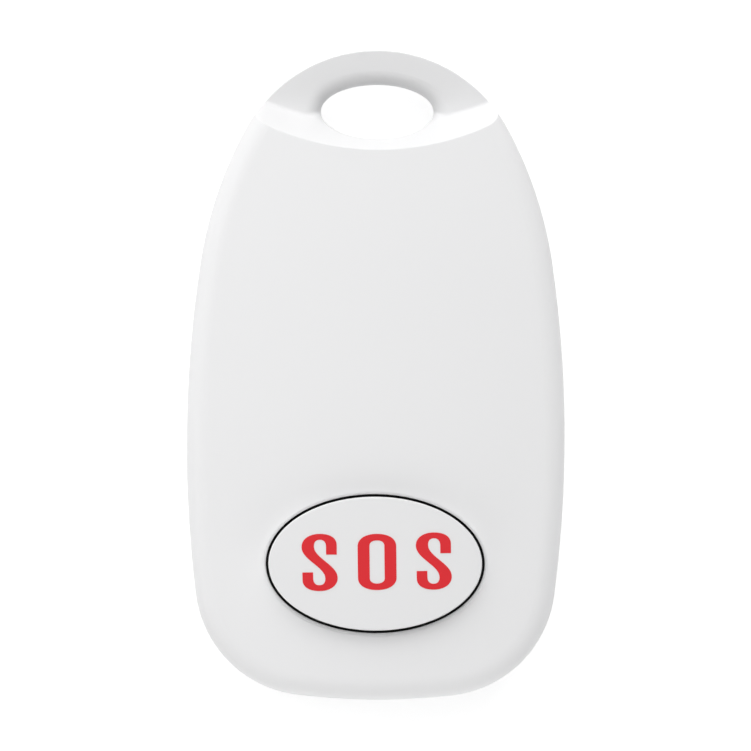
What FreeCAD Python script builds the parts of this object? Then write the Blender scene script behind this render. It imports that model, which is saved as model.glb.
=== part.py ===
import FreeCAD, Part
import math
import os
import re

import Sketcher
from FreeCAD import Vector

# Wireless panic button: a moulded pebble with a lanyard loop, an oval push button and a battery door.
# It lies on its flat back. X runs across it, Y towards the loop, Z out through its front.

document = FreeCAD.newDocument("panic_button")
sheet = document.addObject("Spreadsheet::Sheet", "sizes")

driving_sizes = [
    ("body_length", 60.0, "overall, with the loop"),
    ("body_width", 34.9, "across the widest level"),
    ("body_thickness", 12.6, "flat back to the top of the crown"),
    ("widest_height", 23.9, "lower end to the widest level"),
    ("bottom_radius", 60.5, "outline, lower end"),
    ("corner_radius", 10.7, "outline, lower corners"),
    ("side_bow", 2.24, "long sides, from the widest level in to the loop's centre"),
    ("shoulder_radius", 37.4, "outline, shoulders"),
    ("shoulder_step", 1.51, "loop's own outline inside the long sides"),
    ("crown_across", 84.0, "front's curve from side to side"),
    ("crown_along", 181.0, "front's curve from end to end"),
    ("front_round", 2.2, "edge of the front"),
    ("back_round", 3.0, "edge of the back"),
    ("wall", 1.6, "moulded wall of both shells"),
    ("rear_depth", 4.4, "flat back to the part line"),
    ("lip_thickness", 0.7, "lip that locates the shells"),
    ("lip_height", 0.7, "lip above the part line"),
    ("lip_clearance", 0.1, "round and over the lip"),
    ("seam_width", 0.15, "reveal below the part line"),
    ("seam_depth", 0.25, "reveal below the part line"),
    ("scoop_radius", 30.75, "plan curve of the scoop's edge"),
    ("scoop_reach", 9.75, "loop's end to the scoop's edge"),
    ("scoop_lean", 24.4, "degrees of the scoop's wall off upright"),
    ("scoop_foot", 0.4, "round at the foot of the scoop's wall"),
    ("scoop_edge", 0.12, "round all along the front scoop's edge"),
    ("back_scoop_edge", 0.7, "round all along the back scoop's edge"),
    ("loop_front", 6.95, "front of the loop at its end, above the back"),
    ("loop_rise", 5.5, "degrees that the loop's front rises outwards"),
    ("loop_back", 2.6, "back of the loop at its end, above the back"),
    ("eye_width", 10.4, "lanyard eye across"),
    ("eye_height", 5.0, "lanyard eye along"),
    ("eye_inset", 5.7, "loop's end to the eye's centre"),
    ("eye_round", 1.4, "edges of the lanyard eye"),
    ("button_height", 12.6, "lower end to the button's centre"),
    ("opening_width", 20.2, "button opening across"),
    ("opening_height", 12.84, "button opening along"),
    ("opening_edge", 0.3, "rounded edge of the button opening"),
    ("button_gap", 0.25, "running gap round the button"),
    ("button_rise", 1.15, "button above the crown"),
    ("button_round", 0.15, "edge of the button"),
    ("button_wall", 1.2, "moulded wall of the button"),
    ("button_travel", 0.4, "press"),
    ("cap_boss_wall", 0.4, "button's inner boss beyond the stem"),
    ("flange_reach", 0.9, "button's flange beyond the opening"),
    ("flange_thickness", 0.8, "button's flange"),
    ("flange_room", 0.7, "board to the flange when the button is pressed"),
    ("gasket_thickness", 0.45, "ring on the flange"),
    ("collar_width", 1.3, "collar round the opening"),
    ("door_rim", 1.4, "battery door beyond its lugs"),
    ("door_thickness", 1.4, "battery door's plate"),
    ("door_sink", 0.2, "door below the flat back"),
    ("door_bevel", 0.3, "door's outer edge"),
    ("door_margin", 3.55, "door's recess to the scoop's edge"),
    ("door_clearance", 0.2, "round the door in its recess"),
    ("door_turn", 35.0, "degrees from locked to free"),
    ("slot_length", 13.6, "coin slot, with its round ends"),
    ("slot_width", 1.7, "coin slot"),
    ("slot_depth", 0.8, "coin slot"),
    ("seal_thickness", 0.15, "flat ring on the door"),
    ("seal_width", 0.9, "flat ring on the door"),
    ("ledge_thickness", 1.0, "ledge that the lugs hold on to"),
    ("ledge_wall", 1.2, "wall round the door's recess"),

    ("skirt_wall", 0.9, "door's skirt round the cell"),
    ("cell_clearance", 0.3, "round the cell in the skirt"),
    ("skirt_clearance", 0.15, "round the skirt in the ledge"),
    ("lug_reach", 0.9, "lugs beyond the skirt"),
    ("lug_height", 0.75, "lugs"),
    ("lug_span", 22.0, "degrees that a lug takes"),
    ("notch_room", 4.0, "degrees that a notch is wider than its lug"),
    ("seat_clearance", 0.05, "between flat faces that slide or part"),
    ("cell_radius", 10.0, "coin cell"),
    ("cell_thickness", 3.2, "coin cell"),
    ("cap_inset", 1.1, "coin cell's smaller cap inside its rim"),
    ("can_round", 0.4, "coin cell's rolled edges"),
    ("cap_step", 0.2, "coin cell's cap above its rim"),
    ("cell_lift", 0.1, "door to the cell"),
    ("spring_gap", 0.7, "cell to the board"),
    ("contact_thickness", 0.15, "sprung strip"),
    ("contact_width", 3.6, "sprung strip"),
    ("contact_touch", 0.02, "cell to the side contact"),
    ("contact_foot", 2.4, "soldered foot of the side contact"),
    ("contact_root", 9.0, "cell's centre to the far end of the centre contact"),
    ("contact_pad", 3.0, "soldered end of the centre contact"),
    ("contact_tip", 3.0, "cell's centre to the near end of the centre contact"),
    ("contact_flat", 2.0, "flat of the centre contact on the cell"),
    ("board_thickness", 1.0, "circuit board"),
    ("board_inset", 0.4, "shell's wall to the board's edge"),
    ("board_pass", 0.3, "board to the front shell's bosses"),
    ("post_radius", 2.7, "rear shell's screw posts"),
    ("boss_radius", 2.0, "front shell's screw bosses"),
    ("post_gap", 1.3, "door's recess to the nearest edge of a post"),
    ("tip_room", 0.4, "beyond a screw's tip"),
    ("upper_bearing", 56.0, "degrees above level, upper case screws seen from the door's centre"),
    ("lower_bearing", 47.5, "degrees below level, lower case screws seen from the door's centre"),
    ("screw_radius", 0.85, "case screw's shank"),
    ("screw_length", 6.0, "case screw's shank"),
    ("screw_head_radius", 1.6, "case screw's head"),
    ("screw_head_height", 1.1, "case screw's head"),
    ("screw_sink", 1.0, "head below the flat back"),
    ("screw_clearance", 0.2, "round a screw's head and shank"),
    ("board_screw_radius", 0.7, "board screw's shank"),
    ("board_screw_length", 3.4, "board screw's shank"),
    ("board_screw_head", 1.25, "board screw's head"),
    ("board_screw_head_height", 0.8, "board screw's head"),
    ("board_screw_offset", 3.0, "door's centre to the board screws, along"),
    ("switch_width", 6.2, "tactile switch, square"),
    ("switch_height", 2.0, "tactile switch's housing"),
    ("switch_floor", 0.3, "floor of the switch's well"),
    ("switch_plate_thickness", 0.25, "cover plate"),
    ("switch_wall", 0.5, "wall of the switch's well"),
    ("stem_radius", 1.6, "switch's stem"),
    ("stem_reach", 1.3, "stem above the housing"),
    ("stem_clearance", 0.12, "round the stem in the plate"),
    ("stem_flange", 0.35, "stem's foot"),
    ("dome_clearance", 0.25, "round the snap dome in the well"),
    ("dome_height", 0.7, "snap dome"),
    ("dome_thickness", 0.08, "snap dome"),
    ("terminal_width", 0.7, "switch's soldered feet"),
    ("terminal_thickness", 0.2, "switch's soldered feet"),
    ("terminal_height", 1.0, "switch's soldered feet"),
    ("terminal_reach", 1.0, "switch's soldered feet beyond its housing"),
    ("terminal_offset", 2.2, "switch's centre to its soldered feet"),
    ("radio_size", 5.0, "radio chip, square"),
    ("controller_size", 4.0, "controller chip, square"),
    ("chip_height", 0.9, "both chips"),
    ("chip_row", 3.5, "cell's centre to the chips, along"),
    ("chip_spread", 4.5, "board's middle to the chips, across"),
    ("dimple_radius", 0.3, "mark of a chip's first corner"),
    ("dimple_depth", 0.1, "mark of a chip's first corner"),
    ("dimple_inset", 0.8, "chip's edges to the mark"),
    ("crystal_length", 3.2, "crystal's can"),
    ("crystal_width", 2.5, "crystal's can"),
    ("crystal_height", 0.8, "crystal's can"),
    ("crystal_gap", 1.3, "radio chip to the crystal"),
    ("antenna_length", 7.0, "ceramic antenna"),
    ("antenna_width", 2.0, "ceramic antenna"),
    ("antenna_height", 1.1, "ceramic antenna"),
    ("antenna_inset", 2.0, "board's upper end to the antenna's middle"),
    ("antenna_offset", 3.0, "board's middle to the antenna's middle"),
    ("chip_part_width", 0.8, "capacitors and resistors"),
    ("chip_part_length", 1.6, "capacitors and resistors"),
    ("chip_part_pitch", 2.0, "capacitors and resistors"),
    ("capacitor_height", 0.8, "capacitors"),
    ("capacitor_row", 2.0, "cell's centre to the capacitors, along"),
    ("resistor_height", 0.45, "resistors"),
    ("resistor_row", 4.8, "cell's centre to the resistors, along"),
]
for row, (alias, size, meaning) in enumerate(driving_sizes, 1):
    sheet.set(f"A{row}", alias)
    sheet.set(f"B{row}", str(size))
    sheet.set(f"C{row}", meaning)
    sheet.setAlias(f"B{row}", alias)
document.recompute()
aliases = {alias for alias, size, meaning in driving_sizes}


def formula(text):
    """A formula over the sheet's sizes, each named in full"""
    return re.sub(r"[a-z_]+", lambda word: "sizes." + word[0] if word[0] in aliases else word[0], text)


def value(text):
    return sheet.evalExpression(formula(text))


def bind(feature, property_name, text):
    feature.setExpression(property_name, formula(text))


# Levels and places that several pieces share, as formulas over the sizes

overrun = "2"
loop_end = "body_length / 2"
loop_radius = "(body_width / 2 - side_bow - shoulder_step)"
bottom_y = f"(bottom_radius - {loop_end})"
top_y = f"({loop_end} - {loop_radius})"
side_y = f"(widest_height - {loop_end})"
side_rise = f"({top_y} - {side_y})"
side_radius = f"(({side_rise} * {side_rise} + side_bow * side_bow) / (2 * side_bow))"
side_x = f"(body_width / 2 - {side_radius})"
scoop_axis = f"({loop_end} - scoop_reach + scoop_radius)"
skirt_bore = "(cell_radius + cell_clearance)"
skirt_radius = f"({skirt_bore} + skirt_wall)"
lug_radius = f"({skirt_radius} + lug_reach)"
door_radius = f"({lug_radius} + door_rim)"
recess_radius = f"({door_radius} + door_clearance)"
door_y = f"({loop_end} - scoop_reach - door_margin - {recess_radius})"
button_y = "(button_height - body_length / 2)"
eye_y = f"({loop_end} - eye_inset)"
door_top = "(door_sink + door_thickness)"
ledge_level = f"({door_top} + seal_thickness + seat_clearance)"
ledge_top = f"({ledge_level} + ledge_thickness)"
lug_level = f"({ledge_top} + seat_clearance)"
skirt_top = f"({lug_level} + lug_height)"
cell_level = f"({door_top} + cell_lift)"
cell_top = f"({cell_level} + cell_thickness)"
board_level = f"({cell_top} + spring_gap)"
board_top = f"({board_level} + board_thickness)"
flange_level = f"({board_top} + button_travel + flange_room)"
flange_top = f"({flange_level} + flange_thickness)"
seat_level = f"({flange_top} + gasket_thickness + seat_clearance)"
switch_top = f"({board_top} + switch_height)"
stem_top = f"({switch_top} + stem_reach)"
screw_ring = f"({recess_radius} + post_gap + post_radius)"
upper_x = f"({screw_ring} * cos(upper_bearing))"
upper_y = f"({door_y} + {screw_ring} * sin(upper_bearing))"
lower_x = f"({screw_ring} * cos(lower_bearing))"
lower_y = f"({door_y} - {screw_ring} * sin(lower_bearing))"
case_screw_places = [
    (upper_x, upper_y),
    (f"-{upper_x}", upper_y),
    (lower_x, lower_y),
    (f"-{lower_x}", lower_y),
]
board_screw_x = "(cell_radius + board_screw_head + screw_clearance)"
board_screw_y = f"({door_y} + board_screw_offset)"
board_screw_places = [(board_screw_x, board_screw_y), (f"-{board_screw_x}", board_screw_y)]
board_end = f"({upper_y} - boss_radius - board_inset)"
screw_seat = "(screw_sink + screw_head_height)"
screw_tip = f"({screw_seat} + screw_length)"
well_radius = "(switch_width / 2 - switch_wall)"
dome_radius = f"({well_radius} - dome_clearance)"


# Drawing and shaping

def new_body(name):
    made = document.addObject("PartDesign::Body", name)
    made.Label = name
    return made


def sketch(body, role="XY_Plane", across="0", up="0", out="0"):
    """A sketch on one of a body's origin planes, with its own origin moved across, up and out of it"""
    made = body.newObject("Sketcher::SketchObject", body.Name + "_sketch")
    plane = next(each for each in body.Origin.OriginFeatures if each.Role == role)
    made.AttachmentSupport = (plane, "")
    made.MapMode = "FlatFace"
    bind(made, "AttachmentOffset.Base.x", across)
    bind(made, "AttachmentOffset.Base.y", up)
    bind(made, "AttachmentOffset.Base.z", out)
    return made


def fix(drawing, kind, *where, size):
    """A dimension of a sketch, bound to a formula"""
    index = drawing.addConstraint(Sketcher.Constraint(kind, *where, value(size)))
    bind(drawing, f"Constraints[{index}]", size)


def relate(drawing, kind, *where):
    drawing.addConstraint(Sketcher.Constraint(kind, *where))


def polygon(drawing, corners):
    """Straight lines through corners that are pairs of formulas"""
    points = [Vector(value(x), value(y), 0) for x, y in corners]
    for index, point in enumerate(points):
        drawing.addGeometry(Part.LineSegment(point, points[(index + 1) % len(points)]), False)
    for index, (x, y) in enumerate(corners):
        relate(drawing, "Coincident", index, 2, (index + 1) % len(points), 1)
        fix(drawing, "DistanceX", index, 1, size=x)
        fix(drawing, "DistanceY", index, 1, size=y)


def ellipse(drawing, width, height):
    half = Vector(value(width) / 2, 0, 0)
    rise = Vector(0, value(height) / 2, 0)
    index = drawing.addGeometry(Part.Ellipse(half, rise, Vector(0, 0, 0)), False)
    drawing.exposeInternalGeometry(index)
    relate(drawing, "Coincident", index, 3, -1, 1)
    relate(drawing, "Horizontal", index + 1)
    fix(drawing, "Distance", index + 1, size=width)
    fix(drawing, "Distance", index + 2, size=height)


def right_meeting(first, first_reach, second, second_reach):
    """The right-hand point at two given distances from two centres"""
    between = second - first
    along = (first_reach**2 - second_reach**2 + between.Length**2) / (2 * between.Length)
    beside = math.sqrt(first_reach**2 - along**2)
    forward = between / between.Length
    sideways = Vector(forward.y, -forward.x, 0)
    foot = first + forward * along
    return max(foot + sideways * beside, foot - sideways * beside, key=lambda point: point.x)


def bearing(start, end):
    return math.atan2(end.y - start.y, end.x - start.x)


def outline(drawing, inset="0"):
    """The pebble's plan: eight arcs, each tangent to the next, drawn in from the true outline by inset"""
    bottom = Vector(0, value(bottom_y), 0)
    top = Vector(0, value(top_y), 0)
    side = Vector(value(side_x), value(side_y), 0)
    from_bottom = value("bottom_radius - corner_radius")
    corner = right_meeting(bottom, from_bottom, side, value(f"{side_radius} - corner_radius"))
    from_side = value(f"{side_radius} - shoulder_radius")
    shoulder = right_meeting(side, from_side, top, value(f"shoulder_radius - {loop_radius}"))
    right = [bearing(bottom, corner), bearing(side, corner)]
    right += [bearing(side, shoulder), bearing(shoulder, top)]
    left = [math.pi - angle for angle in reversed(right)]
    turns = [left[-1] - 2 * math.pi] + right + left
    mirrored = [Vector(-centre.x, centre.y, 0) for centre in (shoulder, side, corner)]
    centres = [bottom, corner, side, shoulder, top] + mirrored
    radii = ["bottom_radius", "corner_radius", side_radius, "shoulder_radius", loop_radius]
    radii += ["shoulder_radius", side_radius, "corner_radius"]
    for index, (centre, radius) in enumerate(zip(centres, radii)):
        whole = Part.Circle(centre, Vector(0, 0, 1), value(f"{radius} - {inset}"))
        drawing.addGeometry(Part.ArcOfCircle(whole, turns[index], turns[index + 1]), False)
    for index, radius in enumerate(radii):
        relate(drawing, "Tangent", index, 2, (index + 1) % len(radii), 1)
        fix(drawing, "Radius", index, size=f"{radius} - {inset}")
    relate(drawing, "PointOnObject", 0, 3, -2)
    relate(drawing, "PointOnObject", 4, 3, -2)
    fix(drawing, "DistanceY", 0, 3, size=bottom_y)
    fix(drawing, "DistanceY", 4, 3, size=top_y)
    fix(drawing, "DistanceX", 2, 3, size=side_x)
    fix(drawing, "DistanceY", 2, 3, size=side_y)
    fix(drawing, "DistanceX", 6, 3, size=f"0 - {side_x}")
    fix(drawing, "DistanceY", 6, 3, size=side_y)


def shape(body, kind, profile, **formulas):
    """A Pad, Pocket, Revolution or Groove of a profile, with its sizes bound to formulas"""
    made = body.newObject("PartDesign::" + kind, body.Name + "_" + kind.lower())
    made.Profile = profile
    for property_name, text in formulas.items():
        bind(made, property_name, text)
    return made


def upright_turn(body, kind, corners, angle="360"):
    """A revolution or groove about a sketch's upright axis"""
    profile = sketch(body, "XZ_Plane")
    polygon(profile, corners)
    made = shape(body, kind, profile, Angle=angle)
    made.ReferenceAxis = (profile, ["V_Axis"])
    return made


def place(made, x="0", y="0", level="0"):
    bind(made, "Placement.Base.x", x)
    bind(made, "Placement.Base.y", y)
    bind(made, "Placement.Base.z", level)
    return made


def plate(name, draw, level, height, x="0", y="0"):
    """A flat-ended body whose plan is drawn by draw"""
    body = new_body(name)
    plan = sketch(body, out=level)
    draw(plan)
    shape(body, "Pad", plan, Length=height)
    return place(body, x, y)


def turned(name, corners, x="0", y="0"):
    """A round body: corners are its half section, as radius and level"""
    body = new_body(name)
    upright_turn(body, "Revolution", corners)
    return place(body, x, y)


def cylinder(name, radius, level, height, x="0", y="0"):
    made = document.addObject("Part::Cylinder", name)
    bind(made, "Radius", radius)
    bind(made, "Height", height)
    return place(made, x, y, level)


def block(name, width, depth, height, x, y, level):
    """A box centred on x and y, standing on level"""
    made = document.addObject("Part::Box", name)
    bind(made, "Length", width)
    bind(made, "Width", depth)
    bind(made, "Height", height)
    return place(made, f"({x}) - ({width}) / 2", f"({y}) - ({depth}) / 2", level)


def fuse(name, pieces):
    made = document.addObject("Part::MultiFuse", name)
    made.Shapes = pieces
    return made


def cut(name, base, tools):
    made = document.addObject("Part::Cut", name)
    made.Base = base
    made.Tool = tools[0] if len(tools) == 1 else fuse(name + "_tools", tools)
    return made


def common(name, base, tool):
    made = document.addObject("Part::Common", name)
    made.Base = base
    made.Tool = tool
    return made


def group(name, pieces):
    made = document.addObject("Part::Compound", name)
    made.Links = pieces
    return made


def edge_names(feature, belongs):
    """The edges of a feature's shape that pass a test"""
    document.recompute()
    return [f"Edge{index}" for index, edge in enumerate(feature.Shape.Edges, 1) if belongs(edge)]


def soften(body, kind, belongs, size):
    """A fillet or chamfer on the edges of the body's tip that pass a test"""
    base = body.Tip
    names = edge_names(base, belongs)
    made = body.newObject("PartDesign::" + kind, body.Name + "_" + kind.lower())
    made.Base = (base, names)
    bind(made, "Radius" if kind == "Fillet" else "Size", size)
    return made


# The outer form of the whole case

def crown(body, inset="0"):
    """Takes off what stands above the front's double curve, drawn in by inset"""
    reach = f"body_width / 2 + {overrun}"
    radius = f"crown_across - {inset}"
    centre = "crown_along - crown_across"
    top_level = "crown_along + body_thickness"
    section = sketch(body, "XZ_Plane", up="body_thickness - crown_along")
    angle = math.acos(value(reach) / value(radius))
    bow = Part.Circle(Vector(0, value(centre), 0), Vector(0, 0, 1), value(radius))
    start = Vector(value(reach), value(centre) + value(radius) * math.sin(angle), 0)
    end = Vector(-start.x, start.y, 0)
    start_top = Vector(start.x, value(top_level), 0)
    end_top = Vector(end.x, value(top_level), 0)
    section.addGeometry(Part.ArcOfCircle(bow, angle, math.pi - angle), False)
    section.addGeometry(Part.LineSegment(end, end_top), False)
    section.addGeometry(Part.LineSegment(end_top, start_top), False)
    section.addGeometry(Part.LineSegment(start_top, start), False)
    for index in range(4):
        relate(section, "Coincident", index, 2, (index + 1) % 4, 1)
    relate(section, "Vertical", 1)
    relate(section, "Vertical", 3)
    relate(section, "Horizontal", 2)
    relate(section, "PointOnObject", 0, 3, -2)
    fix(section, "DistanceY", 0, 3, size=centre)
    fix(section, "Radius", 0, size=radius)
    fix(section, "DistanceX", 1, 1, size=f"-({reach})")
    fix(section, "DistanceX", 3, 2, size=reach)
    fix(section, "DistanceY", 2, 1, size=top_level)
    made = shape(body, "Groove", section, Angle="40")
    made.ReferenceAxis = (section, ["H_Axis"])
    made.Midplane = True


def pebble(name, inset="0"):
    """The crowned pebble with its edges rounded, drawn in from the true form by inset"""
    body = new_body(name)
    plan = sketch(body, out=inset)
    outline(plan, inset)
    shape(body, "Pad", plan, Length=f"body_thickness - {inset} + {overrun}")
    crown(body, inset)
    part_line = value("rear_depth")
    back = value(inset)
    soften(body, "Fillet", lambda edge: edge.BoundBox.ZMin > part_line, f"front_round - {inset}")
    soften(body, "Fillet", lambda edge: edge.BoundBox.ZMax < back + 0.01, f"back_round - {inset}")
    return body


def slab(name, inset, level, height):
    """A level slice of the hollow part of the pebble, which stops short of the scoops"""
    whole = plate(name + "_plan", lambda plan: outline(plan, inset), level, height)
    tall = f"{height} + 2 * {overrun}"
    room = cylinder(name + "_end", f"scoop_radius + {inset}", f"{level} - {overrun}", tall, y=scoop_axis)
    return cut(name, whole, [room])


end_radius = "(scoop_radius - scoop_reach)"
front_foot_radius = (
    f"((scoop_radius - tan(scoop_lean) * (body_thickness - loop_front - {end_radius} * tan(loop_rise)))"
    " / (1 + tan(scoop_lean) * tan(loop_rise)))"
)
front_foot_level = f"(loop_front - ({front_foot_radius} - {end_radius}) * tan(loop_rise))"
back_foot_radius = "(scoop_radius - loop_back * tan(scoop_lean))"


def scoop(name, corners, foot_level):
    """What a scoop takes away: a dished round with a leaning wall and a rounded foot"""
    body = turned(name, corners, y=scoop_axis)
    foot = value(foot_level)
    soften(body, "Fillet", lambda edge: edge.Closed and abs(edge.BoundBox.ZMin - foot) < 0.01, "scoop_foot")
    return body


front_scoop = scoop(
    "front_scoop",
    [
        ("0", f"loop_front + {end_radius} * tan(loop_rise)"),
        (front_foot_radius, front_foot_level),
        (f"scoop_radius + {overrun} * tan(scoop_lean)", f"body_thickness + {overrun}"),
        ("0", f"body_thickness + {overrun}"),
    ],
    front_foot_level,
)
back_scoop = scoop(
    "back_scoop",
    [
        ("0", f"-{overrun}"),
        (f"scoop_radius + {overrun} * tan(scoop_lean)", f"-{overrun}"),
        (back_foot_radius, "loop_back"),
        ("0", "loop_back"),
    ],
    "loop_back",
)
skin = pebble("skin")
core_whole = pebble("core_whole", "wall")
right_through = f"body_thickness + 2 * {overrun}"
core_end = cylinder("core_end", "scoop_radius + wall", f"-{overrun}", right_through, y=scoop_axis)
core = cut("core", core_whole, [core_end])


def eye_plan(plan):
    ellipse(plan, "eye_width", "eye_height")


eye = plate("eye", eye_plan, f"-{overrun}", right_through, y=eye_y)
scooped = cut("scooped", cut("loop_blank", skin, [front_scoop, back_scoop]), [eye])


def along(edge):
    """Points spread along an edge"""
    first, last = edge.ParameterRange
    return [edge.valueAt(first + (last - first) * step / 6) for step in range(7)]


def scoop_radius_at(point):
    return math.hypot(point.x, point.y - value(scoop_axis))


def round_the_eye(edge, front):
    """True on the front or back rim of the lanyard eye"""
    half_width = value("eye_width / 2") + 0.01
    half_height = value("eye_height / 2") + 0.01
    middle = value("(loop_front + loop_back) / 2")
    points = along(edge)
    inside = all(abs(p.x) < half_width and abs(p.y - value(eye_y)) < half_height for p in points)
    one_side = all((p.z > middle) == front for p in points)
    return inside and one_side


def on_loop_edge(edge, front):
    """True round the outside of the loop, where the scoop's floor meets the outline"""
    rise = math.tan(math.radians(value("loop_rise")))
    reach = value(end_radius)
    for p in along(edge):
        floor = value("loop_front") - (scoop_radius_at(p) - reach) * rise if front else value("loop_back")
        if abs(p.z - floor) > 0.01:
            return False
    beyond_eye = max(p.y for p in along(edge)) > value(f"{eye_y} + eye_height / 2")
    return beyond_eye and not round_the_eye(edge, front)


case = new_body("case")
case.BaseFeature = scooped
document.recompute()
soften(case, "Fillet", lambda edge: on_loop_edge(edge, True), "scoop_edge")
soften(case, "Fillet", lambda edge: on_loop_edge(edge, False), "back_scoop_edge")
soften(case, "Fillet", lambda edge: round_the_eye(edge, True), "eye_round")
soften(case, "Fillet", lambda edge: round_the_eye(edge, False), "eye_round")


# The two halves of the case, parted at one level

def half(name, level, height):
    return block(name, f"body_width + {overrun}", f"body_length + {overrun}", height, "0", "0", level)


def opening(name, grow, level, height):
    """An oval upright body on the button's centre, larger than its opening by grow all round"""
    return plate(
        name,
        lambda plan: ellipse(plan, f"opening_width + 2 * ({grow})", f"opening_height + 2 * ({grow})"),
        level,
        height,
        y=button_y,
    )


def at_places(name, places, radius, level, height):
    return [cylinder(f"{name}_{n}", radius, level, height, x, y) for n, (x, y) in enumerate(places, 1)]


front_half = common("front_half", case, half("above_part_line", "rear_depth", "body_thickness"))
rear_half = common("rear_half", case, half("below_part_line", f"-{overrun}", f"rear_depth + {overrun}"))

lip_room_inset = "(wall - lip_thickness - lip_clearance)"
lip_room = slab("lip_room", lip_room_inset, "rear_depth", "lip_height + lip_clearance")
front_core = common("front_core", core, half("core_above", "rear_depth", "body_thickness"))
front_columns = at_places("case_boss", case_screw_places, "boss_radius", "rear_depth - 1", "body_thickness")
front_columns += at_places("board_boss", board_screw_places, "boss_radius", board_top, "body_thickness")
front_columns.append(opening("collar", "collar_width", seat_level, "body_thickness"))
front_cavity = cut("front_cavity", fuse("front_space", [front_core, lip_room]), front_columns)

flange_space_grow = "flange_reach + button_gap"
flange_space = opening("flange_space", flange_space_grow, "rear_depth", f"{seat_level} - rear_depth")
button_opening = opening("button_opening", "0", f"{seat_level} - 1", "body_thickness")
front_tools = [front_cavity, flange_space, button_opening]
front_tools += at_places("case_pilot", case_screw_places, "screw_radius", "0", f"{screw_tip} + tip_room")
pilot_depth = "board_screw_length + tip_room"
front_tools += at_places("board_pilot", board_screw_places, "board_screw_radius", board_level, pilot_depth)
front_blank = cut("front_blank", front_half, front_tools)

front_shell = new_body("front_shell")
front_shell.BaseFeature = front_blank
document.recompute()


def round_the_opening(edge):
    """True where the button opening breaks out through the crown"""
    half_width = value("opening_width / 2") + 0.01
    half_height = value("opening_height / 2") + 0.01
    points = along(edge)
    inside = all(abs(p.x) < half_width and abs(p.y - value(button_y)) < half_height for p in points)
    return inside and min(p.z for p in points) > value(seat_level) + 0.5


soften(front_shell, "Fillet", round_the_opening, "opening_edge")

lip = slab("lip", "(wall - lip_thickness)", "rear_depth - lip_height", "2 * lip_height")
well_outside = f"{recess_radius} + ledge_wall"
well = cylinder("door_well", well_outside, f"-{overrun}", f"{ledge_top} + {overrun}", y=door_y)
posts = at_places("post", case_screw_places, "post_radius", f"-{overrun}", f"rear_depth + {overrun}")
rear_cavity = cut("rear_cavity", core, posts + [well])
door_recess = cylinder("door_recess", recess_radius, f"-{overrun}", f"{ledge_level} + {overrun}", y=door_y)
skirt_hole = cylinder("skirt_hole", f"{skirt_radius} + skirt_clearance", "0", "rear_depth", y=door_y)


def lug_ring(body, kind, reach, level, height, span):
    """Three equal sectors round the door's centre, added to or taken from a body"""
    inner = f"({skirt_bore} + skirt_wall / 2)"
    top = f"{level} + {height}"
    corners = [(inner, level), (reach, level), (reach, top), (inner, top)]
    first = upright_turn(body, kind, corners, span)
    first.Midplane = True
    document.recompute()
    ring = body.newObject("PartDesign::PolarPattern", body.Name + "_ring")
    ring.Originals = [first]
    ring.Axis = (first.Profile[0], ["V_Axis"])
    ring.Angle = 360
    ring.Occurrences = 3
    body.Tip = ring


notches = new_body("notches")
lug_ring(
    notches,
    "Revolution",
    f"({lug_radius} + skirt_clearance)",
    f"({ledge_level} - {overrun})",
    f"(ledge_thickness + 2 * {overrun})",
    "lug_span + notch_room",
)
place(notches, y=door_y)
bind(notches, "Placement.Rotation.Angle", "120 - door_turn")

seam_level = "rear_depth - seam_width"
seam_plan = plate("seam_plan", lambda plan: outline(plan, "seam_depth"), seam_level, "seam_width")
seam = cut("seam", half("seam_band", seam_level, "seam_width"), [seam_plan])
rear_tools = [rear_cavity, door_recess, skirt_hole, notches, seam]
shank_room = "screw_radius + screw_clearance"
head_room = "screw_head_radius + screw_clearance"
rear_tools += at_places("screw_hole", case_screw_places, shank_room, "0", "2 * rear_depth")
sunk = f"{screw_seat} + {overrun}"
rear_tools += at_places("counterbore", case_screw_places, head_room, f"-{overrun}", sunk)
rear_shell = cut("rear_shell", fuse("rear_blank", [rear_half, lip]), rear_tools)


# Button: a hollow oval cap on a flange, with its gasket, held up against the collar's flat underside

cap_blank = new_body("cap_blank")
cap_plan = sketch(cap_blank, up=button_y, out=flange_level)
ellipse(cap_plan, "opening_width - 2 * button_gap", "opening_height - 2 * button_gap")
shape(cap_blank, "Pad", cap_plan, Length="body_thickness")
crown(cap_blank, "(0 - button_rise)")
soften(cap_blank, "Fillet", lambda edge: edge.BoundBox.ZMin > value(flange_top), "button_round")
flange_plan = sketch(cap_blank, up=button_y, out=flange_level)
ellipse(flange_plan, "opening_width + 2 * flange_reach", "opening_height + 2 * flange_reach")
shape(cap_blank, "Pad", flange_plan, Length="flange_thickness")

cap_space = new_body("cap_space")
cap_space_plan = sketch(cap_space, up=button_y, out=f"{flange_level} - 1")
cap_space_inset = "2 * (button_gap + button_wall)"
ellipse(cap_space_plan, f"opening_width - {cap_space_inset}", f"opening_height - {cap_space_inset}")
shape(cap_space, "Pad", cap_space_plan, Length="body_thickness")
crown(cap_space, "(button_wall - button_rise)")
cap_boss_level = f"{stem_top} + seat_clearance"
cap_boss = cylinder("cap_boss", "stem_radius + cap_boss_wall", cap_boss_level, "body_thickness", y=button_y)
button_cap = cut("button_cap", cap_blank, [cut("cap_hollow", cap_space, [cap_boss])])

gasket_blank = opening("gasket_blank", "flange_reach", flange_top, "gasket_thickness")
gasket_hole = opening("gasket_hole", "0 - button_gap", f"{flange_top} - 1", "gasket_thickness + 2")
button_gasket = cut("button_gasket", gasket_blank, [gasket_hole])


# Battery door: a bayonet plate with a coin slot, a skirt round the cell and three lugs

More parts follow.
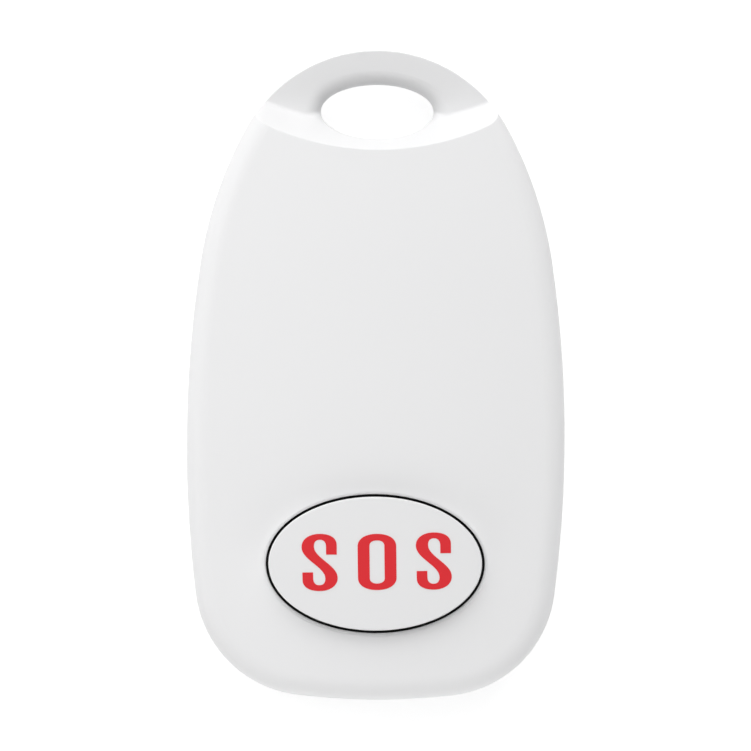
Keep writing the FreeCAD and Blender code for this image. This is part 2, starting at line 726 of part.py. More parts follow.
door_body = new_body("door_body")
upright_turn(
    door_body,
    "Revolution",
    [
        ("0", "door_sink"),
        (f"{door_radius} - door_bevel", "door_sink"),
        (door_radius, "door_sink + door_bevel"),
        (door_radius, door_top),
        (skirt_radius, door_top),
        (skirt_radius, skirt_top),
        (skirt_bore, skirt_top),
        (skirt_bore, door_top),
        ("0", door_top),
    ],
)
lug_ring(door_body, "Revolution", lug_radius, lug_level, "lug_height", "lug_span")
place(door_body, y=door_y)
slot_straight = "(slot_length - slot_width)"
coin_slot = block("coin_slot", slot_straight, "slot_width", "slot_depth + 1", "0", door_y, "door_sink - 1")
slot_end_places = [(f"{slot_straight} / 2", door_y), (f"0 - {slot_straight} / 2", door_y)]
slot_ends = at_places("slot_end", slot_end_places, "slot_width / 2", "door_sink - 1", "slot_depth + 1")
battery_door = cut("battery_door", door_body, [coin_slot] + slot_ends)

seal_mid = f"(({door_radius} + {lug_radius}) / 2)"
door_seal = turned(
    "door_seal",
    [
        (f"{seal_mid} - seal_width / 2", door_top),
        (f"{seal_mid} + seal_width / 2", door_top),
        (f"{seal_mid} + seal_width / 2", f"{door_top} + seal_thickness"),
        (f"{seal_mid} - seal_width / 2", f"{door_top} + seal_thickness"),
    ],
    y=door_y,
)


# Coin cell: a rolled can whose smaller cap faces the board

coin_cell = turned(
    "coin_cell",
    [
        ("0", cell_level),
        ("cell_radius - can_round", cell_level),
        ("cell_radius", f"{cell_level} + can_round"),
        ("cell_radius", f"{cell_top} - can_round"),
        ("cell_radius - can_round", f"{cell_top} - cap_step"),
        ("cell_radius - cap_inset", f"{cell_top} - cap_step"),
        ("cell_radius - cap_inset - cap_step", cell_top),
        ("0", cell_top),
    ],
    y=door_y,
)


# Circuit board, with what is soldered to its front

board_plan = slab("board_plan", "(wall + board_inset)", board_level, "board_thickness")
cut_level = f"{board_level} - 1"
cut_height = "board_thickness + 2"
board_trim = block(
    "board_trim", "body_width", "body_length", cut_height, "0", f"{board_end} + body_length / 2", cut_level
)
pass_radius = "boss_radius + board_pass"
hole_radius = "board_screw_radius + screw_clearance"
board_tools = [board_trim]
board_tools += at_places("boss_pass", case_screw_places[2:], pass_radius, cut_level, cut_height)
board_tools += at_places("board_hole", board_screw_places, hole_radius, cut_level, cut_height)
circuit_board = cut("circuit_board", board_plan, board_tools)


def chip(name, size, x, y):
    """A square package with a dimple at its first corner"""
    blank = block(name + "_blank", size, size, "chip_height", x, y, board_top)
    dimple_x = f"{x} - {size} / 2 + dimple_inset"
    dimple_y = f"{y} + {size} / 2 - dimple_inset"
    dimple_level = f"{board_top} + chip_height - dimple_depth"
    dimple = cylinder(name + "_dimple", "dimple_radius", dimple_level, "1", dimple_x, dimple_y)
    return cut(name, blank, [dimple])


def chip_parts(name, count, height, row):
    """A row of small soldered blocks, centred across the board"""
    places = [f"{index - (count - 1) / 2} * chip_part_pitch" for index in range(count)]
    row_y = f"{door_y} - {row}"
    blocks = [
        block(f"{name}_{n}", "chip_part_width", "chip_part_length", height, x, row_y, board_top)
        for n, x in enumerate(places, 1)
    ]
    return group(name, blocks)


chip_y = f"({door_y} + chip_row)"
crystal_y = f"({chip_y} + radio_size / 2 + crystal_gap + crystal_width / 2)"
antenna_y = f"({board_end} - antenna_inset)"
radio_chip = chip("radio_chip", "radio_size", "(0 - chip_spread)", chip_y)
controller_chip = chip("controller_chip", "controller_size", "chip_spread", chip_y)
crystal = block(
    "crystal", "crystal_length", "crystal_width", "crystal_height",
    "0 - chip_spread", crystal_y, board_top,
)
chip_antenna = block(
    "chip_antenna", "antenna_length", "antenna_width", "antenna_height",
    "antenna_offset", antenna_y, board_top,
)
capacitors = chip_parts("capacitors", 6, "capacitor_height", "capacitor_row")
resistors = chip_parts("resistors", 4, "resistor_height", "resistor_row")


# Tactile switch under the button

switch_shell = block(
    "switch_shell", "switch_width", "switch_width", "switch_height",
    "0", button_y, board_top,
)
dome_level = f"({board_top} + switch_floor)"
switch_well = cylinder("switch_well", well_radius, dome_level, "switch_height", y=button_y)
plate_level = f"({switch_top} - switch_plate_thickness)"
plate_seat = block("plate_seat", "switch_width + 1", "switch_width + 1", "1", "0", button_y, plate_level)
switch_housing = cut("switch_housing", switch_shell, [switch_well, plate_seat])
plate_blank = block(
    "plate_blank", "switch_width", "switch_width", "switch_plate_thickness", "0", button_y, plate_level
)
plate_hole = cylinder("plate_hole", "stem_radius + stem_clearance", f"{plate_level} - 1", "2", y=button_y)
switch_plate = cut("switch_plate", plate_blank, [plate_hole])
dome_top = f"({dome_level} + dome_height)"
stem_foot = f"({dome_top} + seat_clearance)"
foot_radius = f"({well_radius} - 2 * stem_clearance)"
switch_stem = turned(
    "switch_stem",
    [
        ("0", stem_foot),
        (foot_radius, stem_foot),
        (foot_radius, f"{stem_foot} + stem_flange"),
        ("stem_radius", f"{stem_foot} + stem_flange"),
        ("stem_radius", stem_top),
        ("0", stem_top),
    ],
    y=button_y,
)
ball_radius = f"(({dome_radius} * {dome_radius} + dome_height * dome_height) / (2 * dome_height))"


def ball(name, radius):
    """A ball whose poles lie level, away from the dome cut from its top"""
    made = document.addObject("Part::Sphere", name)
    made.Placement.Rotation = FreeCAD.Rotation(Vector(1, 0, 0), 90)
    bind(made, "Radius", radius)
    return place(made, y=button_y, level=f"{dome_top} - {ball_radius}")


dome_outside = ball("dome_outside", ball_radius)
dome_inside = ball("dome_inside", f"{ball_radius} - dome_thickness")
dome_skin = cut("dome_skin", dome_outside, [dome_inside])
dome_room = cylinder("dome_room", well_radius, dome_level, "switch_height", y=button_y)
switch_dome = common("switch_dome", dome_skin, dome_room)


def strip(name, corners, width, x="0", y="0"):
    """A bent strip: corners are its section, as Y and level"""
    body = new_body(name)
    section = sketch(body, "YZ_Plane")
    polygon(section, corners)
    made = shape(body, "Pad", section, Length=width)
    made.SideType = "Symmetric"
    return place(body, x, y)


def terminal(name, x, side):
    """One gull-wing foot of the switch, on the side that side's sign gives"""
    near = f"{side} * (switch_width / 2)"
    outer = f"{side} * (switch_width / 2 + terminal_thickness)"
    toe = f"{side} * (switch_width / 2 + terminal_reach)"
    corners = [
        (near, board_top),
        (toe, board_top),
        (toe, f"{board_top} + terminal_thickness"),
        (outer, f"{board_top} + terminal_thickness"),
        (outer, f"{board_top} + terminal_height"),
        (near, f"{board_top} + terminal_height"),
    ]
    return strip(name, corners, "terminal_width", x, button_y)


terminal_sides = [("1", "1"), ("(0 - 1)", "1"), ("1", "(0 - 1)"), ("(0 - 1)", "(0 - 1)")]
switch_terminals = group(
    "switch_terminals",
    [
        terminal(f"terminal_{index}", f"{across} * terminal_offset", along_side)
        for index, (across, along_side) in enumerate(terminal_sides, 1)
    ],
)


# Contacts: thin sprung strips soldered to the board's back

foot_level = f"({board_level} - contact_thickness)"
bend = "(contact_tip - contact_flat)"
pad_end = "(contact_pad - contact_root)"
negative_contact = strip(
    "negative_contact",
    [
        ("0 - contact_root", board_level),
        ("0 - contact_root", foot_level),
        (pad_end, foot_level),
        (bend, cell_top),
        ("contact_tip", cell_top),
        ("contact_tip", f"{cell_top} + contact_thickness"),
        (bend, f"{cell_top} + contact_thickness"),
        (f"{pad_end} + contact_thickness", board_level),
    ],
    "contact_width",
    y=door_y,
)
leg = "(cell_radius + contact_touch)"
leg_end = f"({skirt_top} + cell_clearance)"
positive_contact = strip(
    "positive_contact",
    [
        (leg, leg_end),
        (f"{leg} + contact_thickness", leg_end),
        (f"{leg} + contact_thickness", foot_level),
        (f"{leg} + contact_foot", foot_level),
        (f"{leg} + contact_foot", board_level),
        (leg, board_level),
    ],
    "contact_width",
    y=door_y,
)


# Screws, all with pan heads

head_crown = 0.7
head_side = 0.45
arm_reach = 1.1
arm_width = 0.3
tip_share = 0.3


def pan_screw(name, x, y, head_low, head_radius, head_height, shank_radius, shank_length):
    """A screw driven upwards: its head's crossed face is at head_low"""
    head_high = f"({head_low} + {head_height})"
    body = turned(
        name,
        [
            ("0", head_low),
            (f"{head_radius} * {head_crown}", head_low),
            (head_radius, f"{head_low} + {head_height} * {head_side}"),
            (head_radius, head_high),
            (shank_radius, head_high),
            (shank_radius, f"{head_high} + {shank_length} - {shank_radius}"),
            (f"{shank_radius} * {tip_share}", f"{head_high} + {shank_length}"),
            ("0", f"{head_high} + {shank_length}"),
        ],
        x,
        y,
    )
    arms = []
    for number, (wide, deep) in enumerate([(arm_reach, arm_width), (arm_width, arm_reach)], 1):
        width = f"{head_radius} * {wide}"
        depth = f"{head_radius} * {deep}"
        tall = f"{head_height} / 2 + 1"
        arms.append(block(f"{name}_arm_{number}", width, depth, tall, x, y, f"{head_low} - 1"))
    return cut(name + "_crossed", body, arms)


def screws(name, places, *sizes):
    return group(name + "s", [pan_screw(f"{name}_{n}", x, y, *sizes) for n, (x, y) in enumerate(places, 1)])


case_screws = screws(
    "case_screw", case_screw_places,
    "screw_sink", "screw_head_radius", "screw_head_height", "screw_radius", "screw_length",
)
board_screws = screws(
    "board_screw", board_screw_places,
    f"({board_level} - board_screw_head_height)", "board_screw_head", "board_screw_head_height",
    "board_screw_radius", "board_screw_length",
)

pieces = [
    front_shell,
    rear_shell,
    button_cap,
    button_gasket,
    battery_door,
    door_seal,
    coin_cell,
    circuit_board,
    radio_chip,
    controller_chip,
    crystal,
    chip_antenna,
    capacitors,
    resistors,
    switch_housing,
    switch_plate,
    switch_stem,
    switch_dome,
    switch_terminals,
    negative_contact,
    positive_contact,
    case_screws,
    board_screws,
]
document.recompute()
for each in document.Objects:
    if "Invalid" in each.State or "Error" in each.State:
        raise RuntimeError(f"{each.Name} failed: {each.State}")
for piece in pieces:
    if piece.Shape.isNull() or not piece.Shape.isValid():
        raise RuntimeError(f"{piece.Label} has no valid shape")
os.makedirs("parts", exist_ok=True)
for piece in pieces:
    piece.Shape.exportStep(f"parts/{piece.Label}.step")
    print(piece.Label, len(piece.Shape.Solids), round(piece.Shape.Volume, 2))
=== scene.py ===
import math

import bmesh
import bpy
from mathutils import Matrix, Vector


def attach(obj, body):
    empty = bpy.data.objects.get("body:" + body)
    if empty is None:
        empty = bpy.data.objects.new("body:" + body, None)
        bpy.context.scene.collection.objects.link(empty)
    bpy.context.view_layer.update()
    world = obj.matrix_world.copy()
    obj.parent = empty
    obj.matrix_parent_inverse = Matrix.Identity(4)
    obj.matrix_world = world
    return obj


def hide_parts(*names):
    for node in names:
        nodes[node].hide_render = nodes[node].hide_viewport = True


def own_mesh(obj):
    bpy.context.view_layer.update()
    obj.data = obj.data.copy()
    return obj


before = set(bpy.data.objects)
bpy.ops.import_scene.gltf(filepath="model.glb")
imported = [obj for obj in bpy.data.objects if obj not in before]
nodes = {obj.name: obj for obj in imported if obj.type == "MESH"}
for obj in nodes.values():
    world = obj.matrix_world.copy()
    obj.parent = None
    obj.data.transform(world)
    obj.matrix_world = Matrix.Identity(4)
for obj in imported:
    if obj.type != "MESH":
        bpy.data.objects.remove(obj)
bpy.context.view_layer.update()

# Camera: straight above, as in the photograph, with the lanyard loop at the top of the picture.
# A long lens from 3 m keeps the sides of the case as upright as they look there.
picture_width = 0.06939
picture_centre = -0.00005
picture_tilt = math.radians(0.25)
outline_level = 0.006
camera_distance = 3.0
film_width = 36
camera_data = bpy.data.cameras.new("camera")
camera_data.sensor_width = film_width
camera_data.lens = film_width * camera_distance / picture_width
camera_data.clip_start = 0.01
camera = bpy.data.objects.new("camera", camera_data)
camera.location = (picture_centre, picture_centre, outline_level + camera_distance)
camera.rotation_euler = (0, 0, picture_tilt)
bpy.context.scene.collection.objects.link(camera)
bpy.context.scene.camera = camera
bpy.context.scene.view_settings.view_transform = "Standard"


# Floor and light: a pale table in a white tent, with soft lamps high and low above the top of the
# picture and at its upper left corner, and low fill from below and from the two lower corners.
# What the camera sees of floor and tent is white, and the floor keeps a faint contact shadow.
def node(tree, kind, **inputs):
    """A node with some sockets set by name"""
    made = tree.nodes.new("ShaderNode" + kind)
    for name, value in inputs.items():
        made.inputs[name].default_value = value
    return made


def seen_directly(tree):
    """1 for what the camera sees straight, in a reflection or through glass"""
    path = node(tree, "LightPath")
    reach = path.outputs["Is Camera Ray"]
    for other in ("Is Glossy Ray", "Is Transmission Ray"):
        either = node(tree, "Math")
        either.operation = "MAXIMUM"
        tree.links.new(reach, either.inputs[0])
        tree.links.new(path.outputs[other], either.inputs[1])
        reach = either.outputs[0]
    return reach


pure_white = (1, 1, 1, 1)
tent = bpy.data.worlds.new("tent")
tent.use_nodes = True
bpy.context.scene.world = tent
sky = tent.node_tree
sky.nodes.clear()
direction = node(sky, "TexCoord")


def lit_from(towards, start, end, strength):
    """A soft lamp, from none at start to full at end, as cosines of the angle from its middle"""
    angle = node(sky, "VectorMath")
    angle.operation = "DOT_PRODUCT"
    angle.inputs[1].default_value = Vector(towards).normalized()
    sky.links.new(direction.outputs["Generated"], angle.inputs[0])
    ramp = node(sky, "MapRange")
    ramp.interpolation_type = "SMOOTHSTEP"
    ramp.inputs["From Min"].default_value = start
    ramp.inputs["From Max"].default_value = end
    ramp.inputs["To Min"].default_value = 0.0
    ramp.inputs["To Max"].default_value = strength
    sky.links.new(angle.outputs["Value"], ramp.inputs["Value"])
    return ramp.outputs["Result"]


def total(lamps):
    """The light of all the lamps together"""
    result = lamps[0]
    for lamp in lamps[1:]:
        more = node(sky, "Math")
        more.operation = "ADD"
        sky.links.new(result, more.inputs[0])
        sky.links.new(lamp, more.inputs[1])
        result = more.outputs[0]
    return result


lamps = [
    lit_from(towards=(0, 1, 1.43), start=0.7, end=0.99, strength=1.98),
    lit_from(towards=(0, 1, 0.53), start=0.75, end=0.99, strength=1.5),
    lit_from(towards=(-1, 1, 0.75), start=0.75, end=0.99, strength=1.12),
    lit_from(towards=(0, -1, 0.21), start=0.5, end=0.98, strength=0.65),
    lit_from(towards=(-1, -1, 0.05), start=0.82, end=0.99, strength=3.1),
    lit_from(towards=(1, -1, 0.05), start=0.82, end=0.99, strength=3.0),
]
light = node(sky, "Background", Color=pure_white)
sky.links.new(total(lamps), light.inputs["Strength"])
backdrop = node(sky, "Background", Color=pure_white, Strength=1.0)
shown = node(sky, "MixShader")
sky.links.new(seen_directly(sky), shown.inputs[0])
sky.links.new(light.outputs[0], shown.inputs[1])
sky.links.new(backdrop.outputs[0], shown.inputs[2])
sky.links.new(shown.outputs[0], node(sky, "OutputWorld").inputs["Surface"])


def new_material(name):
    """A material with nodes, and its Principled shader"""
    made = bpy.data.materials.new(name)
    made.use_nodes = True
    shader = made.node_tree.nodes["Principled BSDF"]
    return made, shader


table_size = 1.5
table_level = -0.00002
table_colour = (0.7, 0.7, 0.7, 1)
table_roughness = 0.9
table_glow = 0.62
bpy.ops.mesh.primitive_plane_add(size=table_size)
floor = bpy.context.object
floor.name = "floor"
floor.location.z = table_level
pale_table, matt = new_material("pale_table")
tree = pale_table.node_tree
matt.inputs["Base Color"].default_value = table_colour
matt.inputs["Roughness"].default_value = table_roughness
glow = node(tree, "Emission", Color=pure_white, Strength=table_glow)
lifted = node(tree, "AddShader")
shown = node(tree, "MixShader")
tree.links.new(matt.outputs[0], lifted.inputs[0])
tree.links.new(glow.outputs[0], lifted.inputs[1])
tree.links.new(seen_directly(tree), shown.inputs[0])
tree.links.new(matt.outputs[0], shown.inputs[1])
tree.links.new(lifted.outputs[0], shown.inputs[2])
tree.links.new(shown.outputs[0], tree.nodes["Material Output"].inputs["Surface"])
floor.data.materials.append(pale_table)

# Shells and battery door: white ABS, injected into a finely spark-eroded mould, so satin with a
# very fine grain. Front and back are one colour and one finish and are closed by four screws.
# The coin-slot door is moulded from the same material and held by its bayonet.
grain_height = 0.5
mottle_scale = 90.0
roughness_play = 0.06
# Map Range keeps its sockets for vectors behind those of the same names for single numbers
vector_in, vector_low, vector_high, vector_out = 6, 9, 10, 1


def surface(name, colour, roughness, grain, depth, spread, metallic=0.0, stretch=(1, 1, 1)):
    """A solid with its grain as bump, and slight unevenness in its colour and its roughness"""
    made, shader = new_material(name)
    tree = made.node_tree
    place = node(tree, "TexCoord")
    scaled = node(tree, "Mapping", Scale=stretch)
    tree.links.new(place.outputs["Object"], scaled.inputs["Vector"])
    fine = node(tree, "TexNoise", Scale=1 / grain, Detail=3.0, Roughness=0.6)
    broad = node(tree, "TexNoise", Scale=mottle_scale, Detail=2.0)
    tree.links.new(scaled.outputs[0], fine.inputs["Vector"])
    tree.links.new(place.outputs["Object"], broad.inputs["Vector"])
    bump = node(tree, "Bump", Strength=grain_height, Distance=depth)
    tree.links.new(fine.outputs["Fac"], bump.inputs["Height"])
    tree.links.new(bump.outputs[0], shader.inputs["Normal"])
    tint = node(tree, "MapRange")
    tint.data_type = "FLOAT_VECTOR"
    tint.inputs[vector_low].default_value = [part * (1 - spread) for part in colour]
    tint.inputs[vector_high].default_value = [min(1.0, part * (1 + spread)) for part in colour]
    tree.links.new(broad.outputs["Fac"], tint.inputs[vector_in])
    tree.links.new(tint.outputs[vector_out], shader.inputs["Base Color"])
    sheen = node(tree, "MapRange")
    sheen.inputs["To Min"].default_value = roughness - roughness_play
    sheen.inputs["To Max"].default_value = roughness + roughness_play
    tree.links.new(broad.outputs["Fac"], sheen.inputs["Value"])
    tree.links.new(sheen.outputs["Result"], shader.inputs["Roughness"])
    shader.inputs["Metallic"].default_value = metallic
    return made


def dress(material, *names):
    """Gives CAD nodes one material"""
    for name in names:
        data = nodes[name].data
        data.materials.clear()
        data.materials.append(material)


white_abs = surface(
    "white_abs", (0.83, 0.83, 0.835), roughness=0.42, grain=0.00012, depth=0.000004, spread=0.006)
door_abs = surface(
    "door_abs", (0.82, 0.82, 0.825), roughness=0.45, grain=0.00012, depth=0.000004, spread=0.006)
dress(white_abs, "front_shell", "rear_shell")
dress(door_abs, "battery_door")

# Button: an oval cap moulded from the same white ABS and polished a little more. It rests on the
# switch's stem inside its dark ring, and its marking is pad-printed in red ink.
button_abs = surface(
    "button_abs", (0.81, 0.81, 0.815), roughness=0.36, grain=0.0002, depth=0.000002, spread=0.006)
dress(button_abs, "button_cap")
red_ink = surface(
    "red_print", (0.685, 0.011, 0.019), roughness=0.45, grain=0.0001, depth=0.000002, spread=0.03)

# Half of the letter S from its upper end on, each point with its handles back and on, in widths and
# heights of the letter. The other half is the same, turned half round, and its end lies a little
# further from the middle.
half_s = [
    (0.484, 0.135, 0.484, 0.2, 0.39, 0.135),
    (0.185, 0.135, 0.3, 0.135, 0.185, 0.19),
    (0.185, 0.28, 0.185, 0.23, 0.185, 0.355),
    (0.02, 0.398, 0.11, 0.398, -0.1, 0.398),
    (-0.155, 0.28, -0.155, 0.36, -0.155, 0.08),
    (0.5, -0.27, 0.5, -0.05, 0.5, -0.42),
    (0.0, -0.5, 0.27, -0.5, -0.3, -0.5),
    (-0.484, -0.3, -0.484, -0.43, -0.484, -0.24),
]
other_half = [tuple(-value for value in point) for point in half_s]
lower_end = -0.172
other_half[0] = (-0.484, lower_end, -0.484, -0.22, -0.39, lower_end)
other_half[1] = (-0.185, lower_end, -0.3, lower_end, -0.185, -0.21)
letter_s = [half_s + other_half]


def round_slot(width, straight, height, fullness):
    """A tall rounded slot: straight sides and full curves over its ends"""
    bend = width * fullness
    rise = straight + (height - straight) * fullness
    return [
        (width, straight, width, 0.0, width, rise),
        (0.0, height, bend, height, -bend, height),
        (-width, straight, -width, rise, -width, 0.0),
        (-width, -straight, -width, 0.0, -width, -rise),
        (0.0, -height, -bend, -height, bend, -height),
        (width, -straight, width, -rise, width, 0.0),
    ]


letter_o = [
    round_slot(width=0.5, straight=0.28, height=0.5, fullness=0.61),
    round_slot(width=0.193, straight=0.29, height=0.385, fullness=0.6),
]
print_thickness = 0.00003
print_tilt = math.radians(0.95)
crown_step = 0.0006
curve_steps = 16
same_point = 1e-7
too_short = 2e-6
above_cap = 0.1
cap = nodes["button_cap"]


def outlined(name, splines, width, height):
    """A flat letter inside its outlines: closed splines of points with two handles each"""
    curve = bpy.data.curves.new(name, "CURVE")
    curve.dimensions = "2D"
    curve.fill_mode = "BOTH"
    curve.resolution_u = curve_steps
    for points in splines:
        spline = curve.splines.new("BEZIER")
        spline.bezier_points.add(len(points) - 1)
        spline.use_cyclic_u = True
        for bezier_point, (x, y, back_x, back_y, on_x, on_y) in zip(spline.bezier_points, points):
            bezier_point.co = (x * width, y * height, 0)
            bezier_point.handle_left = (back_x * width, back_y * height, 0)
            bezier_point.handle_right = (on_x * width, on_y * height, 0)
    drawn = bpy.data.objects.new(name + "_drawn", curve)
    bpy.context.scene.collection.objects.link(drawn)
    bpy.context.view_layer.update()
    data = bpy.data.meshes.new_from_object(
        drawn.evaluated_get(bpy.context.evaluated_depsgraph_get()))
    bpy.data.objects.remove(drawn)
    return data


def printed(name, splines, x, y, width, height):
    """A letter printed on the button's crown, with the thickness of the ink"""
    data = outlined(name, splines, width, height)
    shape = bmesh.new()
    shape.from_mesh(data)
    bmesh.ops.remove_doubles(shape, verts=shape.verts, dist=same_point)
    for axis, reach in ((Vector((1, 0, 0)), width), (Vector((0, 1, 0)), height)):
        for index in range(int(-reach / 2 / crown_step), int(reach / 2 / crown_step) + 1):
            every = shape.verts[:] + shape.edges[:] + shape.faces[:]
            bmesh.ops.bisect_plane(
                shape, geom=every, plane_co=axis * index * crown_step, plane_no=axis)
    bmesh.ops.remove_doubles(shape, verts=shape.verts, dist=too_short)
    bmesh.ops.dissolve_degenerate(shape, edges=shape.edges, dist=too_short)
    cosine, sine = math.cos(print_tilt), math.sin(print_tilt)
    for vertex in shape.verts:
        across, along = vertex.co.x, vertex.co.y
        at_x = x + across * cosine - along * sine
        at_y = y + across * sine + along * cosine
        over = Vector((at_x, at_y, above_cap))
        _, place, _, _ = cap.ray_cast(over, Vector((0, 0, -1)))
        vertex.co = place
    side = bmesh.ops.extrude_face_region(shape, geom=shape.faces[:])
    for item in side["geom"]:
        if isinstance(item, bmesh.types.BMVert):
            item.co.z += print_thickness
    bmesh.ops.recalc_face_normals(shape, faces=shape.faces[:])
    shape.to_mesh(data)
    shape.free()
    letter = bpy.data.objects.new(name, data)
    bpy.context.scene.collection.objects.link(letter)
    data.materials.clear()
    data.materials.append(red_ink)
    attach(letter, "button")


printed("marking_first_s", letter_s, x=-0.00513, y=-0.01731, width=0.0033, height=0.00527)
printed("marking_o", letter_o, x=0.00017, y=-0.01724, width=0.00356, height=0.00518)
printed("marking_last_s", letter_s, x=0.0054, y=-0.01713, width=0.00329, height=0.00527)

# Gasket and door seal: moulded rings of black silicone, dull, with the faint dust bloom that
# silicone always carries. One fills the gap round the button, and the door presses on the other.
black_silicone = surface(
    "black_silicone", (0.012, 0.012, 0.013), roughness=0.6, grain=0.00015, depth=0.000005,
    spread=0.3)
dress(black_silicone, "button_gasket", "door_seal")

# Coin cell, its contacts, and the switch's plate and terminals: steel, nickel-plated, bare or
# tinned, with the fine grain of drawing or rolling. The cell is held between its contacts, and the
# parts of strip are stamped and bent to shape.
cell_steel = surface(
    "cell_steel", (0.66, 0.65, 0.62), roughness=0.3, grain=0.00006, depth=0.000002, spread=0.05,
    metallic=1.0, stretch=(1, 12, 1))
contact_strip = surface(
    "contact_strip", (0.69, 0.67, 0.6), roughness=0.26, grain=0.00005, depth=0.000002, spread=0.05,
    metallic=1.0, stretch=(12, 1, 1))
stainless_sheet = surface(
    "stainless_sheet", (0.58, 0.58, 0.58), roughness=0.32, grain=0.00005, depth=0.000002,
    spread=0.05, metallic=1.0, stretch=(1, 12, 1))
tinned_strip = surface(
    "tinned_strip", (0.72, 0.72, 0.7), roughness=0.35, grain=0.0002, depth=0.000006, spread=0.05,
    metallic=1.0)
dress(cell_steel, "coin_cell")
dress(contact_strip, "negative_contact", "positive_contact")
dress(stainless_sheet, "switch_plate")
dress(tinned_strip, "switch_terminals")

# Snap dome: thin stainless sheet stamped to a shallow dome, loose in the well of the switch.
dome = bpy.data.objects.new("snap_dome", nodes["switch_dome"].data.copy())
bpy.context.scene.collection.objects.link(dome)
dome.data.materials.clear()
dome.data.materials.append(stainless_sheet)
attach(dome, "case")
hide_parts("switch_dome")
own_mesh(dome)

# Circuit board: glass laminate under green solder resist, whose weave shows faintly. It is routed
# to fit inside the case and screwed under the front shell.
green_resist = surface(
    "green_resist", (0.02, 0.16, 0.055), roughness=0.3, grain=0.0005, depth=0.000008, spread=0.12)
dress(green_resist, "circuit_board")

# What is soldered to the board: moulded packages, a drawn and plated crystal can, and fired ceramic
# bodies. All of them are placed on solder paste and fixed in one pass through the oven.
moulded_package = surface(
    "moulded_package", (0.022, 0.022, 0.024), roughness=0.55, grain=0.00006, depth=0.000005,
    spread=0.15)
plated_can = surface(
    "plated_can", (0.6, 0.59, 0.55), roughness=0.25, grain=0.0001, depth=0.000003, spread=0.06,
    metallic=1.0)
white_ceramic = surface(
    "white_ceramic", (0.74, 0.71, 0.63), roughness=0.35, grain=0.0002, depth=0.000004, spread=0.05)
tan_ceramic = surface(
    "tan_ceramic", (0.36, 0.22, 0.11), roughness=0.4, grain=0.0001, depth=0.000005, spread=0.15)
black_glaze = surface(
    "black_glaze", (0.03, 0.03, 0.035), roughness=0.25, grain=0.0002, depth=0.000005, spread=0.2)
dress(moulded_package, "radio_chip", "controller_chip")
dress(plated_can, "crystal")
dress(white_ceramic, "chip_antenna")
dress(tan_ceramic, "capacitors")
dress(black_glaze, "resistors")

# Switch body and stem: injection-moulded nylon, black for the body and natural, slightly waxy, for
# the stem. The body is held to the board by its terminals, and the stem slides in it.
black_nylon = surface(
    "black_nylon", (0.025, 0.025, 0.027), roughness=0.5, grain=0.0001, depth=0.000005, spread=0.15)
natural_nylon = surface(
    "natural_nylon", (0.6, 0.57, 0.5), roughness=0.45, grain=0.0001, depth=0.000005, spread=0.06)
dress(black_nylon, "switch_housing")
dress(natural_nylon, "switch_stem")

# Screws: zinc-plated steel, cold-headed with a cross recess and a rolled self-tapping thread.
# Four close the case from the back, and two smaller ones hold the board to the front shell.
zinc_plate = surface(
    "zinc_plate", (0.56, 0.57, 0.59), roughness=0.34, grain=0.00015, depth=0.000006, spread=0.1,
    metallic=1.0)
screw_sides = 32
sharp_edge = math.radians(35)
head_profile = ((0.8, 0.0), (0.93, 0.06), (0.985, 0.18), (1.0, 0.35), (1.0, 1.0))
thread_pitch = 0.0007
thread_depth = 0.22
thread_sharpness = 2.6
rows_per_turn = 8
tip_width = 0.45
tip_spread = 2.2
recess_width = 0.16
recess_reach = 0.62
recess_profile = ((-0.1, 1.06), (0.55, 0.5))


def closed_skin(shape, rings):
    """Rings of corners joined into a closed skin"""
    rows = [[shape.verts.new(corner) for corner in ring] for ring in rings]
    for low, high in zip(rows, rows[1:]):
        for index in range(len(low)):
            after = (index + 1) % len(low)
            shape.faces.new((low[index], low[after], high[after], high[index]))
    shape.faces.new(list(reversed(rows[0])))
    shape.faces.new(rows[-1])


def solid(name, ring_sets):
    """An object of one or more closed skins"""
    shape = bmesh.new()
    for rings in ring_sets:
        closed_skin(shape, rings)
    bmesh.ops.recalc_face_normals(shape, faces=shape.faces[:])
    data = bpy.data.meshes.new(name)
    shape.to_mesh(data)
    shape.free()
    made = bpy.data.objects.new(name, data)
    bpy.context.scene.collection.objects.link(made)
    return made


def screw_rings(x, y, face, head, head_height, shank, length):
    """A screw's skin, from the face of its head to its blunt tip"""
    rings = []
    for out, up in head_profile:
        rings.append([(head * out, face + head_height * up)] * screw_sides)
    rows = round(length / thread_pitch * rows_per_turn)
    for row in range(rows + 1):
        up = length * row / rows
        taper = min(1.0, tip_width + tip_spread * (1 - up / length))
        ring = []
        for side in range(screw_sides):
            turn = up / thread_pitch - side / screw_sides
            ridge = max(0.0, 1 - thread_sharpness * abs(turn - round(turn)))
            radius = shank * (1 - thread_depth * (1 - ridge)) * taper
            ring.append((radius, face + head_height + up))
        rings.append(ring)
    angles = [2 * math.pi * side / screw_sides for side in range(screw_sides)]
    return [
        [
            (x + radius * math.cos(angle), y + radius * math.sin(angle), level)
            for angle, (radius, level) in zip(angles, ring)
        ]
        for ring in rings
    ]


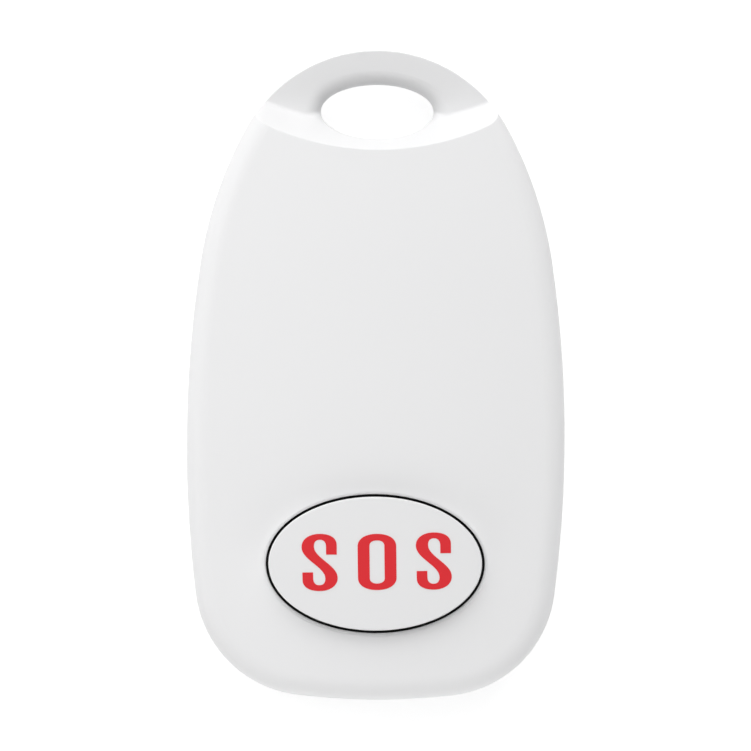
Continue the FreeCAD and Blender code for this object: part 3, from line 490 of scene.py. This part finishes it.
def recess_rings(x, y, turned, face, head, head_height):
    """The cross recess of a head, wider at its mouth than at its foot"""
    cosine, sine = math.cos(turned), math.sin(turned)
    rings = []
    for level, size in recess_profile:
        arm, half = head * recess_reach * size, head * recess_width * size
        cross = [(arm, half), (half, half), (half, arm), (-half, arm), (-half, half), (-arm, half)]
        cross += [(-px, -py) for px, py in cross]
        rings.append([
            (x + px * cosine - py * sine, y + px * sine + py * cosine, face + head_height * level)
            for px, py in cross
        ])
    return rings


def cross_screws(name, places, sizes, stands_for):
    """Screws with their heads down, in place of the plain ones"""
    face, head, head_height, shank, length = sizes
    skins = [screw_rings(x, y, face, head, head_height, shank, length) for x, y, turned in places]
    cuts = [recess_rings(x, y, turned, face, head, head_height) for x, y, turned in places]
    made = solid(name, skins)
    cutter = solid(name + "_cutter", cuts)
    carve = made.modifiers.new("recess", "BOOLEAN")
    carve.object = cutter
    carve.operation = "DIFFERENCE"
    carve.solver = "EXACT"
    bpy.context.view_layer.update()
    data = bpy.data.meshes.new_from_object(
        made.evaluated_get(bpy.context.evaluated_depsgraph_get()))
    made.modifiers.clear()
    made.data = data
    bpy.data.objects.remove(cutter)
    data.materials.clear()
    data.materials.append(zinc_plate)
    data.shade_smooth()
    data.set_sharp_from_angle(angle=sharp_edge)
    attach(made, "case")
    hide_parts(stands_for)


# Sizes: level of the head's face, radius and height of the head, radius and length of the shank.
# Places: x, y and how far the recess happens to be turned.
case_screw_sizes = (0.001, 0.0016, 0.0011, 0.00085, 0.006)
case_screw_places = [
    (0.0098977, 0.017674, 0.3), (-0.0098977, 0.017674, 1.1),
    (0.0119579, -0.0100498, 0.7), (-0.0119579, -0.0100498, 0.1),
]
board_screw_sizes = (0.0048, 0.00125, 0.0008, 0.0007, 0.0034)
board_screw_places = [(0.01145, 0.006, 0.5), (-0.01145, 0.006, 1.3)]
cross_screws("case_screws_driven", case_screw_places, case_screw_sizes, "case_screws")
cross_screws("board_screws_driven", board_screw_places, board_screw_sizes, "board_screws")
